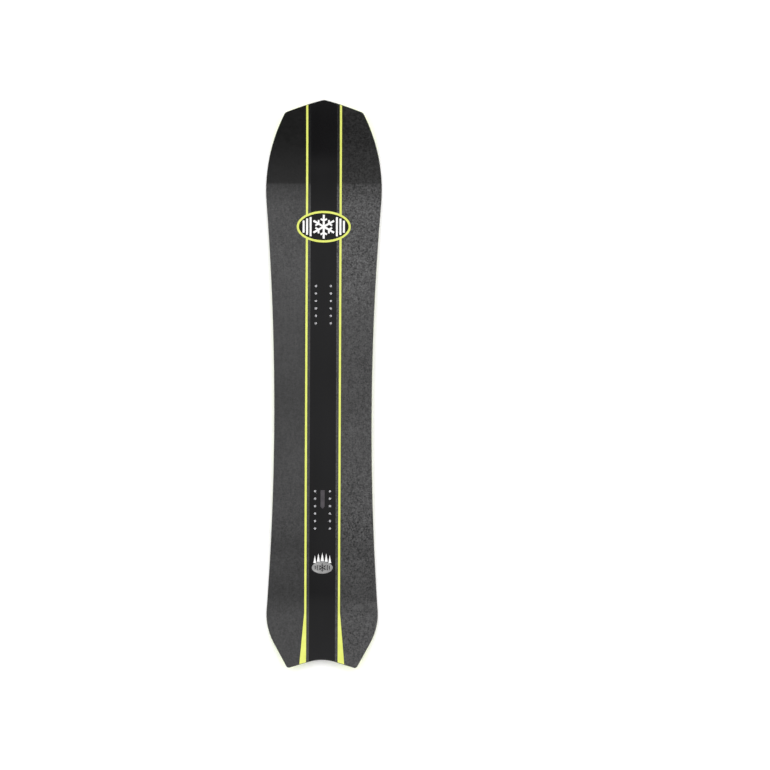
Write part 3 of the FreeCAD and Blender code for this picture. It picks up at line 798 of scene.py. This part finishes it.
FINISHES = {
    "panel": panel_ink(),
    "band": band_ink(),
    "neon_ink": neon_ink(),
    "white_ink": flat_ink("white_ink", (0.78, 0.78, 0.78), (0.86, 0.86, 0.86)),
    "silver_ink": flat_ink("silver_ink", (0.22, 0.22, 0.22), (0.34, 0.34, 0.34)),
    "dim_ink": flat_ink("dim_ink", (0.040, 0.036, 0.042), (0.062, 0.056, 0.064)),
    "base_neon": sintered("base_neon", (0.70, 0.90, 0.012), (0.79, 0.965, 0.026), 1.48),
    "base_black": sintered("base_black", (0.006, 0.006, 0.007), (0.011, 0.011, 0.012), 1.36),
    "steel": steel(),
    "insert": insert_metal(),
    "sidewall": planed_plastic("sidewall_plastic", (0.010, 0.010, 0.011), (0.034, 0.034, 0.036)),
    "spacer": planed_plastic("spacer_plastic", (0.010, 0.010, 0.011), (0.036, 0.036, 0.038)),
    "laminate": glass_laminate(),
    "light_wood": wood("core_light_wood", (0.42, 0.29, 0.15), (0.66, 0.50, 0.30)),
    "dense_wood": wood("core_dense_wood", (0.30, 0.17, 0.08), (0.50, 0.32, 0.17)),
    "rubber": rubber(),
    "mat": mat_cloth(),
}

# ---------------------------------------------------------------- layers


def insert_spots():
    """Places of the inserts of each column."""
    columns = {}
    for pack, middle in INSERT_PLACES.items():
        for side, x in (("left", -INSERT_COLUMN_OFFSET), ("right", INSERT_COLUMN_OFFSET)):
            rows = [middle + (row - (INSERT_ROWS - 1) / 2) * INSERT_PITCH for row in range(INSERT_ROWS)]
            columns[f"{pack}_{side}"] = [(x, y) for y in rows]
    return columns


INSERTS = insert_spots()
HOLE_SIDES = 40


def hole(middle, radius):
    """Loop round a hole, with directions that point into it."""
    angles = [-2 * math.pi * step / HOLE_SIDES for step in range(HOLE_SIDES)]
    x, y = middle
    return [
        (x + radius * math.cos(a), y + radius * math.sin(a), -math.cos(a), -math.sin(a)) for a in angles
    ]


INSERT_SPOTS = [spot for spots in INSERTS.values() for spot in spots]
deck_holes = [hole(spot, INSERT_NECK_RADIUS) for spot in INSERT_SPOTS]
barrel_holes = [hole(spot, INSERT_BARREL_RADIUS) for spot in INSERT_SPOTS]

topsheet_rim = [
    (TOPSHEET_INSET - 0.15, deck(UPPER_LAMINATE_THICKNESS)),
    (TOPSHEET_INSET + 0.02, deck(DECK_TOP - 0.18)),
    (TOPSHEET_INSET + 0.12, deck(DECK_TOP - 0.06)),
    (TOPSHEET_INSET + 0.30, deck(DECK_TOP)),
    (TOPSHEET_INSET + 1.0, deck(DECK_TOP)),
]
hole_rim = [
    (0.0, deck(UPPER_LAMINATE_THICKNESS)),
    (0.0, deck(DECK_TOP - 0.12)),
    (0.12, deck(DECK_TOP)),
    (0.5, deck(DECK_TOP)),
]
layered(
    "topsheet_skin",
    [OUTLINE] + deck_holes,
    [topsheet_rim] + [hole_rim] * len(deck_holes),
    FINISHES["panel"],
    ["topsheet"],
)

laminate_rim = [
    (SIDEWALL_INSET + 0.30, deck(0)),
    (TOPSHEET_INSET - 0.17, deck(UPPER_LAMINATE_THICKNESS)),
]
laminate_hole = [(0.0, deck(0)), (0.0, deck(UPPER_LAMINATE_THICKNESS))]
layered(
    "upper_laminate_sheet",
    [OUTLINE] + barrel_holes,
    [laminate_rim] + [laminate_hole] * len(barrel_holes),
    FINISHES["laminate"],
    ["upper_laminate"],
)
lower_laminate_rim = [
    (FLANGE_WIDTH + 0.1, base(BASE_THICKNESS)),
    (FLANGE_WIDTH + 0.1, base(EDGE_HEIGHT)),
    (SIDEWALL_INSET - 0.30, base(EDGE_HEIGHT)),
    (SIDEWALL_INSET - 0.22, base(LOWER_LAMINATE_TOP)),
]
layered(
    "lower_laminate_sheet",
    [OUTLINE],
    [lower_laminate_rim],
    FINISHES["laminate"],
    ["lower_laminate"],
)


def part_outline(end):
    """The outline's part beyond one end of the wood core, closed by a straight line across."""
    if end == "nose":
        start = crossing(CORE_FRONT)
        right = [spot for spot in RIGHT if spot[1] > CORE_FRONT + 1] + [start]
        across = straight(Vector(start[:2]), Vector((-start[0], CORE_FRONT)))[1:]
        return right + across + mirror(right[1:])
    start = crossing(-CORE_REAR)
    right = [start] + [spot for spot in RIGHT if spot[1] < -CORE_REAR - 1]
    across = straight(Vector((-start[0], -CORE_REAR)), Vector(start[:2]))[1:]
    return right + mirror(right[:-1]) + across


SIDEWALL_RIM = [(SIDEWALL_INSET - 0.20, base(LOWER_LAMINATE_TOP)), (SIDEWALL_INSET + 0.28, deck(0))]
for end in ("nose", "tail"):
    layered(
        f"{end}_spacer_block",
        [part_outline(end)],
        [SIDEWALL_RIM],
        FINISHES["spacer"],
        [f"{end}_spacer"],
        across=20,
    )


def sidewall(side):
    """Planed sidewall beside the wood core."""
    sign = 1 if side == "right" else -1
    stations = [crossing(CORE_FRONT)]
    stations += [spot for spot in RIGHT if -CORE_REAR + 1 < spot[1] < CORE_FRONT - 1]
    stations += [crossing(-CORE_REAR)]
    inside = SIDEWALL_INSET + SIDEWALL_WIDTH
    sections = []
    for x, y, out_x, _ in stations:
        low = base_line(y) + LOWER_LAMINATE_TOP
        high = core_line(y)
        foot = SIDEWALL_RIM[0][0] / out_x
        head = SIDEWALL_RIM[1][0] / out_x
        sections.append(
            [
                (sign * (x - foot), y, low),
                (sign * (x - head), y, high),
                (sign * (x - inside), y, high),
                (sign * (x - inside), y, low),
            ]
        )
    name = f"sidewall_{side}_strip"
    lofted(name, sections, FINISHES["sidewall"], [f"sidewall_{side}"])


def steel_edge(side):
    """Edge bar with small chamfers and the flange that anchors it, round half the board."""
    sign = 1 if side == "right" else -1
    shape = [
        (0.15, 0.0),
        (0.0, 0.15),
        (0.0, EDGE_HEIGHT - 0.12),
        (0.12, EDGE_HEIGHT),
        (FLANGE_WIDTH, EDGE_HEIGHT),
        (FLANGE_WIDTH, BASE_THICKNESS),
        (EDGE_WIDTH, BASE_THICKNESS),
        (EDGE_WIDTH, 0.0),
    ]
    sections = []
    for x, y, out_x, out_y in RIGHT:
        section = []
        for depth, height in shape:
            spot_x, spot_y = x - out_x * depth, y - out_y * depth
            section.append((sign * spot_x, spot_y, base_line(spot_y) + height))
        sections.append(section)
    name = f"steel_edge_{side}_rail"
    lofted(name, sections, FINISHES["steel"], [f"steel_edge_{side}"])


for side in ("left", "right"):
    sidewall(side)
    steel_edge(side)

# ---------------------------------------------------------------- base

REACH = 900
base_rim = inset(OUTLINE, EDGE_WIDTH)
badge_middle = (0, BADGE_PLACE)
badge_outside = oval(badge_middle, BADGE_HALF_WIDTH, BADGE_HALF_LENGTH)
badge_hollow = (BADGE_HALF_WIDTH - BADGE_RING, BADGE_HALF_LENGTH - BADGE_RING)
badge_inside = oval(badge_middle, *badge_hollow)
motif = crystal(badge_middle) + badge_bars(badge_middle, *badge_hollow)
base_low = base(0)
base_high = base(BASE_THICKNESS)


def base_piece(node, loops, rule, finish):
    plate(f"{node}_inlay", loops, rule, base_low, base_high, FINISHES[finish], [node])


base_areas = {
    "base_panel_left": (rectangle(-REACH, -STRIPE_HALF_WIDTH, -REACH, REACH), "base_neon"),
    "base_panel_right": (rectangle(STRIPE_HALF_WIDTH, REACH, -REACH, REACH), "base_neon"),
    "base_centre_stripe": (rectangle(-STRIPE_HALF_WIDTH, STRIPE_HALF_WIDTH, -REACH, REACH), "base_black"),
}
for node, (area, finish) in base_areas.items():
    base_piece(node, [base_rim, area, badge_outside], lambda rim, part, oval: rim & part & ~oval, finish)
base_piece("base_badge_ring", [badge_outside, badge_inside], lambda out, inner: out & ~inner, "base_black")
base_piece(
    "base_badge_field",
    [badge_inside] + motif,
    lambda inner, *bars: inner & ~any_of(bars, inner),
    "base_neon",
)
base_piece("base_badge_motif", motif, lambda *bars: any_of(bars, bars[0]), "base_black")

# ---------------------------------------------------------------- inserts


def insert_body(middle, first):
    """Points and faces of one turned insert: flange, barrel, countersunk and threaded bore."""
    x, y = middle
    foot = base_line(y) + LOWER_LAMINATE_TOP
    top = core_line(y) + DECK_TOP - 0.06
    floor = foot + INSERT_FLANGE_THICKNESS
    outline = [(INSERT_FLANGE_RADIUS, foot), (INSERT_FLANGE_RADIUS, floor)]
    outline += [(INSERT_BARREL_RADIUS, floor), (INSERT_BARREL_RADIUS, top - 0.65)]
    outline += [(INSERT_NECK_RADIUS, top - 0.6), (INSERT_NECK_RADIUS, top - 0.12)]
    outline += [(INSERT_NECK_RADIUS - 0.14, top), (INSERT_BORE_RADIUS + 0.5, top)]
    outline.append((INSERT_BORE_RADIUS + 0.25, top - 0.4))
    depth = top - THREAD_PITCH
    while depth > floor + THREAD_PITCH:
        outline.append((INSERT_BORE_RADIUS, depth))
        outline.append((INSERT_BORE_RADIUS + THREAD_DEPTH, depth - THREAD_PITCH / 2))
        depth -= THREAD_PITCH
    outline += [(INSERT_BORE_RADIUS, depth), (INSERT_BORE_RADIUS, floor)]
    vertices = []
    faces = []
    for radius, height in outline:
        for step in range(HOLE_SIDES):
            angle = 2 * math.pi * step / HOLE_SIDES
            vertices.append((x + radius * math.cos(angle), y + radius * math.sin(angle), height))
    for ring in range(len(outline) - 1):
        for step in range(HOLE_SIDES):
            after = (step + 1) % HOLE_SIDES
            low, high = first + ring * HOLE_SIDES, first + (ring + 1) * HOLE_SIDES
            faces.append((low + step, low + after, high + after, high + step))
    last = first + (len(outline) - 1) * HOLE_SIDES
    faces.append(tuple(first + step for step in range(HOLE_SIDES)))
    faces.append(tuple(last + step for step in range(HOLE_SIDES)))
    return vertices, faces


for column, spots in INSERTS.items():
    vertices = []
    faces = []
    for spot in spots:
        more_vertices, more_faces = insert_body(spot, len(vertices))
        vertices += more_vertices
        faces += more_faces
    name = f"inserts_{column}_turned"
    from_parts(name, vertices, faces, FINISHES["insert"], [f"inserts_{column}"])

# ---------------------------------------------------------------- printed films on the topsheet

FILM_BOTTOM = deck(DECK_TOP - 0.03)
FILM_TOP = deck(DECK_TOP + 0.05)
SECOND_TOP = deck(DECK_TOP + 0.10)
FILM_INSET = TOPSHEET_INSET + 0.3
BAND_HALF_WIDTH = 35
PIN_INSIDE = 42.3
PIN_OUTSIDE = 47.9
FLARE_START = -612
FLARE_WIDTH = 13
TOP_BADGE = (0, 422.3)
TOP_BADGE_HALF_WIDTH = 72.5
TOP_BADGE_HALF_LENGTH = 42.3
TOP_BADGE_RING = 5.8
CRYSTAL_SIZE = 0.76
BARS_SIZE = 0.75
TOP_BADGE_BARS = 3

film_rim = inset(OUTLINE, FILM_INSET)
top_outside = oval(TOP_BADGE, TOP_BADGE_HALF_WIDTH, TOP_BADGE_HALF_LENGTH)
top_hollow = (TOP_BADGE_HALF_WIDTH - TOP_BADGE_RING, TOP_BADGE_HALF_LENGTH - TOP_BADGE_RING)
top_inside = oval(TOP_BADGE, *top_hollow)


def film(name, loops, rule, finish, high=FILM_TOP):
    plate(name, loops, rule, FILM_BOTTOM, high, FINISHES[finish])


def outside_badge(rim, part, badge, *holes):
    return rim & part & ~badge & ~any_of(holes, rim)


band = rectangle(-BAND_HALF_WIDTH, BAND_HALF_WIDTH, -REACH, REACH)
clear_holes = [inset(hole(spot, INSERT_NECK_RADIUS), -0.25) for spot in INSERT_SPOTS]
film("band_film", [film_rim, band, top_outside] + clear_holes, outside_badge, "band")

for side, sign in (("left", -1), ("right", 1)):
    flare = FLARE_WIDTH * (REACH + FLARE_START) / (HALF_LENGTH + FLARE_START)
    corners = [
        (sign * PIN_INSIDE, REACH),
        (sign * PIN_OUTSIDE, REACH),
        (sign * PIN_OUTSIDE, FLARE_START),
        (sign * (PIN_OUTSIDE + flare), -REACH),
        (sign * PIN_INSIDE, -REACH),
    ]
    film(f"pinstripe_{side}_film", [film_rim, slanted(corners), top_outside], outside_badge, "neon_ink")

film("badge_ring_film", [top_outside, top_inside], lambda out, inner: out & ~inner, "neon_ink")
top_motif = crystal(TOP_BADGE, CRYSTAL_SIZE)
top_motif += badge_bars(TOP_BADGE, *top_hollow, BARS_SIZE, TOP_BADGE_BARS)
film(
    "badge_field_film",
    [top_inside] + top_motif,
    lambda inner, *bars: inner & ~any_of(bars, inner),
    "band",
)
film("badge_motif_film", top_motif, lambda *bars: any_of(bars, bars[0]), "white_ink")

# Tail emblem: a silver oval under five plain peaks. Rear pack: a dim centre mark.
EMBLEM = (0, -492)
EMBLEM_HALF_WIDTH = 28
EMBLEM_HALF_LENGTH = 16
EMBLEM_CRYSTAL_SIZE = 0.27
EMBLEM_BAR_WIDTH = 2.2
EMBLEM_BARS = [(-19, 10), (-13.5, 14), (13.5, 14), (19, 10)]
PEAKS = [(-20, 3.8, 33), (-10.5, 4.2, 38), (0, 4.7, 40), (10.5, 4.2, 38), (20, 3.8, 33)]
PEAK_CLEARANCE = 1
MARK = [(-5.5, -284), (-5.5, -328), (0, -334), (5.5, -328), (5.5, -284)]

emblem_oval = oval(EMBLEM, EMBLEM_HALF_WIDTH, EMBLEM_HALF_LENGTH)
emblem_crystal = crystal(EMBLEM, EMBLEM_CRYSTAL_SIZE)
emblem_bars = [bar((x, EMBLEM[1]), EMBLEM_BAR_WIDTH, length, 0) for x, length in EMBLEM_BARS]
film(
    "emblem_oval_film",
    [emblem_oval] + emblem_crystal + emblem_bars,
    lambda out, *marks: out & ~any_of(marks, out),
    "silver_ink",
    SECOND_TOP,
)
peaks = []
for x, half, reach in PEAKS:
    share = x / (EMBLEM_HALF_WIDTH + PEAK_CLEARANCE)
    foot = EMBLEM[1] + (EMBLEM_HALF_LENGTH + PEAK_CLEARANCE) * math.sqrt(1 - share**2)
    peaks.append(slanted([(x - half, foot), (x + half, foot), (x, EMBLEM[1] + reach)]))
film("emblem_peaks_film", peaks, lambda *parts: any_of(parts, parts[0]), "white_ink", SECOND_TOP)
film("centre_mark_film", [slanted(MARK)], lambda area: area, "dim_ink", SECOND_TOP)

# ---------------------------------------------------------------- inner CAD nodes

DENSE_STRINGERS = ("03", "05", "07", "09")
for name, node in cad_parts.items():
    if name.startswith("core_stringer"):
        finish = "dense_wood" if name[-2:] in DENSE_STRINGERS else "light_wood"
    elif name.startswith("insert_mat"):
        finish = "mat"
    elif name.startswith("rubber_strip"):
        finish = "rubber"
    else:
        continue
    node.data.materials.clear()
    node.data.materials.append(FINISHES[finish])

# ---------------------------------------------------------------- floor, light, camera

HORIZON_LIGHT = 1.02
SIDE_LIGHT = 2.3
OVERHEAD_LIGHT = 0.8
DARK_SIDE = 0.12
LOW_MIRRORED = 0.4
PICTURE_WIDTH = 2.0665
PICTURE_MIDDLE = (0.1661, -0.0015)
CAMERA_TURN = 0.25


def floor():
    """Plain pale floor with a faint glow, as on a light table, that softens the board's shadow."""
    paint = Finish("floor_paint", IOR=1.3)
    paint.set("Base Color", paint.ramp(paint.noise(3), [(0.3, grey(0.94)), (0.7, grey(0.95))]))
    paint.set("Roughness", 0.9)
    paint.set("Specular IOR Level", 0.1)
    paint.set("Emission Color", (1, 1, 1, 1))
    paint.set("Emission Strength", 0.09)
    half = 60
    mesh = bpy.data.meshes.new("floor")
    corners = [(-half, -half, 0), (half, -half, 0), (half, half, 0), (-half, half, 0)]
    mesh.from_pydata(corners, [], [(0, 1, 2, 3)])
    mesh.materials.append(paint.material)
    sheet = bpy.data.objects.new("floor", mesh)
    bpy.context.scene.collection.objects.link(sheet)


def sky():
    """Pale studio surround: dim overhead and on the side the nose mirrors, and low down in mirrors."""
    world = bpy.data.worlds.new("studio")
    world.use_nodes = True
    bpy.context.scene.world = world
    world.node_tree.nodes.clear()
    nodes = Nodes(world.node_tree, "Generated")
    y = nodes.axis("Y")
    z = nodes.axis("Z")

    def step(value, low, high, to_low, to_high):
        return nodes.spread(value, low, high, to_low, to_high, smooth=True)

    def times(first, second):
        return nodes.math("MULTIPLY", first, second)

    rise = step(z, 0.35, 0.60, HORIZON_LIGHT, SIDE_LIGHT)
    overhead = step(z, 0.76, 0.93, 1.0, OVERHEAD_LIGHT / SIDE_LIGHT)
    dark_side = times(step(y, -0.20, -0.05, 1.0, 0.0), step(z, 0.55, 0.75, 0.0, 1.0))
    shade = step(dark_side, 0.0, 1.0, 1.0, DARK_SIDE)
    low_down = step(z, 0.42, 0.62, LOW_MIRRORED, 1.0)
    mirrored = step(nodes.add("LightPath").outputs["Is Glossy Ray"], 0.0, 1.0, 1.0, low_down)
    strength = times(times(times(rise, overhead), shade), mirrored)
    background = nodes.add("Background", {"Color": (1.0, 0.995, 0.99, 1), "Strength": strength})
    nodes.add("OutputWorld", {"Surface": background.outputs["Background"]})


def area_light(name, place, size, power):
    """Soft light that faces the board and doesn't show."""
    lamp = bpy.data.lights.new(name, "AREA")
    lamp.shape = "RECTANGLE"
    lamp.size, lamp.size_y = size
    lamp.energy = power
    thing = bpy.data.objects.new(name, lamp)
    thing.location = place
    thing.rotation_euler = (-Vector(place)).to_track_quat("-Z", "Y").to_euler()
    thing.visible_camera = False
    bpy.context.scene.collection.objects.link(thing)


def camera():
    """Straight above the board, which lies left of the middle, nose up."""
    lens = bpy.data.cameras.new("camera")
    lens.lens = 200
    lens.sensor_width = 36
    lens.clip_end = 200
    thing = bpy.data.objects.new("camera", lens)
    thing.location = (*PICTURE_MIDDLE, PICTURE_WIDTH * lens.lens / lens.sensor_width)
    thing.rotation_euler = (0, 0, math.radians(CAMERA_TURN))
    bpy.context.scene.collection.objects.link(thing)
    bpy.context.scene.camera = thing


floor()
sky()
area_light("key", (-2.6, 1.6, 3.0), (2.2, 2.2), 8)
camera()

settings = bpy.context.scene.view_settings
settings.view_transform = "Standard"
settings.look = "None"
